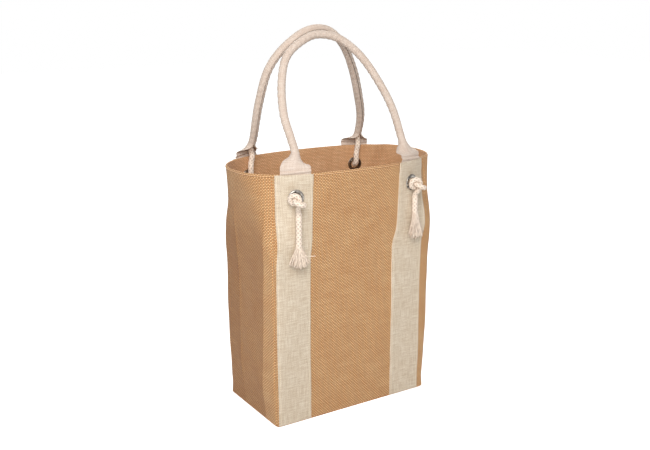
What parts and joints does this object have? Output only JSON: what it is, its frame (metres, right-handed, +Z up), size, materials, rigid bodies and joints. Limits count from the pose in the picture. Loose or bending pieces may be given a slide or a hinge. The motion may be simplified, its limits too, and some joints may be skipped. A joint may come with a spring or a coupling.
{
  "type": "bottle carrier bag",
  "caption": "Tall jute bottle bag with canvas stripes, two padded rope handles tied through eyelets in frayed knots, and dividers inside.",
  "frame": {"origin": "on the ground under the middle of the bag's box", "axes": "+Z up from the base to the handles, +X to the bag's right as seen from the front, the front face looks along -Y"},
  "size_m": [0.34, 0.2282, 0.613],
  "materials": {
    "jute": "coarse plain-woven natural jute, matt",
    "inner_jute": "woven jute with a smooth laminated inside, matt",
    "board": "pressed fibre board, matt",
    "stripe_canvas": "unbleached cotton canvas with slubs, matt",
    "sleeve_canvas": "plain cotton canvas, matt",
    "rope": "braided cotton rope, soft and matt",
    "eyelet_metal": "plated steel, satin to bright"
  },
  "bodies": {
    "bag": {"base_panel": "jute", "front_panel": "jute", "back_panel": "jute", "left_gusset": "jute", "right_gusset": "jute", "rim_facing": "inner_jute", "base_board": "board", "long_divider": "inner_jute", "left_cross_divider": "inner_jute", "right_cross_divider": "inner_jute", "front_left_stripe": "stripe_canvas", "front_right_stripe": "stripe_canvas", "back_left_stripe": "stripe_canvas", "back_right_stripe": "stripe_canvas", "front_left_eyelet": "eyelet_metal", "front_right_eyelet": "eyelet_metal", "back_left_eyelet": "eyelet_metal", "back_right_eyelet": "eyelet_metal", "front_left_washer": "eyelet_metal", "front_right_washer": "eyelet_metal", "back_left_washer": "eyelet_metal", "back_right_washer": "eyelet_metal", "front_left_tab": "sleeve_canvas", "front_right_tab": "sleeve_canvas", "back_left_tab": "sleeve_canvas", "back_right_tab": "sleeve_canvas", "front_left_knot": "rope", "front_right_knot": "rope", "back_left_knot": "rope", "back_right_knot": "rope"},
    "front_handle": {"front_handle_sleeve": "sleeve_canvas", "front_handle_rope": "rope"},
    "back_handle": {"back_handle_sleeve": "sleeve_canvas", "back_handle_rope": "rope"},
    "front_left_rope_tail": {"front_left_tail": "rope"},
    "front_right_rope_tail": {"front_right_tail": "rope"},
    "back_left_rope_tail": {"back_left_tail": "rope"},
    "back_right_rope_tail": {"back_right_tail": "rope"}
  },
  "joints": [
    {"name": "front_handle_swing", "type": "hinge", "parent": "bag", "child": "front_handle", "pos_m": [-0.0036, -0.0923, 0.40525], "axis": [1, 0, 0], "range_deg": [0, 155]},
    {"name": "back_handle_swing", "type": "hinge", "parent": "bag", "child": "back_handle", "pos_m": [0.0018, 0.0922, 0.40525], "axis": [-1, 0, 0], "range_deg": [0, 155]},
    {"name": "front_left_tail_sway", "type": "hinge", "parent": "bag", "child": "front_left_rope_tail", "pos_m": [-0.11015, -0.09209, 0.33501], "axis": [0.0523, 0.9986, 0], "range_deg": [-25, 25]},
    {"name": "front_right_tail_sway", "type": "hinge", "parent": "bag", "child": "front_right_rope_tail", "pos_m": [0.10525, -0.09288, 0.33486], "axis": [-0.0523, 0.9986, 0], "range_deg": [-25, 25]},
    {"name": "back_left_tail_sway", "type": "hinge", "parent": "bag", "child": "back_left_rope_tail", "pos_m": [-0.10403, 0.09336, 0.33693], "axis": [-0.0523, 0.9986, 0], "range_deg": [-25, 25]},
    {"name": "back_right_tail_sway", "type": "hinge", "parent": "bag", "child": "back_right_rope_tail", "pos_m": [0.11156, 0.09163, 0.33701], "axis": [0.0523, 0.9986, 0], "range_deg": [-25, 25]}
  ]
}
